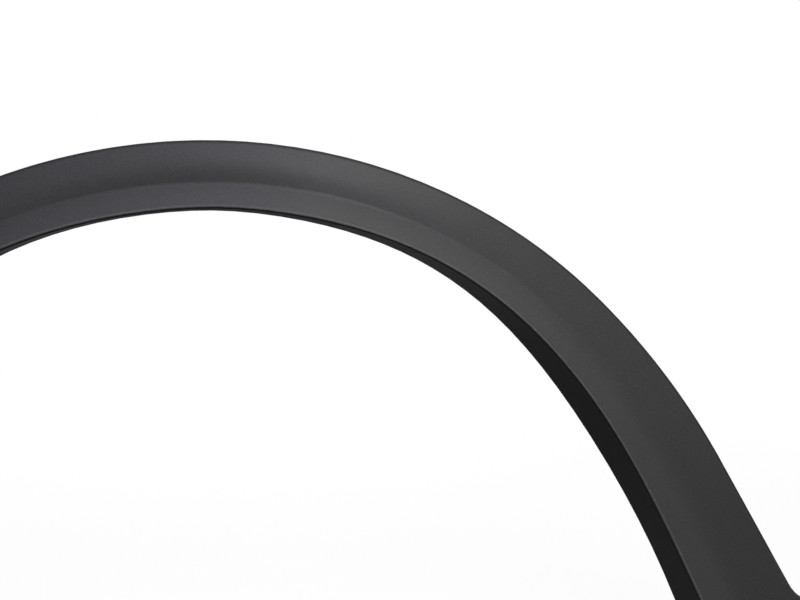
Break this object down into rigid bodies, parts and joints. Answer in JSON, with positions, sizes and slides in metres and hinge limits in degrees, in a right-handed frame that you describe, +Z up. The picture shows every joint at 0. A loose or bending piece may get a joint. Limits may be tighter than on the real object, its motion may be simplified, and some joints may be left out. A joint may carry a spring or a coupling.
{
  "type": "wheel arch trim",
  "caption": "Moulded wheel arch trim: a creased arch face with a rounded lip, a return flange behind it, flared feet, and push-in clips that hold it to the wing.",
  "frame": {"origin": "on the wing's skin, on the axis of the push-in clip at the crown of the arch", "axes": "+X along the car, +Y into the car the way the clips push in, +Z up; the face looks along -Y"},
  "size_m": [1.06, 0.0503, 0.42],
  "materials": {
    "moulding": "satin, fine moulded grain, mid charcoal",
    "clip": "natural nylon"
  },
  "bodies": {
    "root": {"arch_moulding": "moulding", "retaining_clips": "clip"}
  },
  "joints": []
}
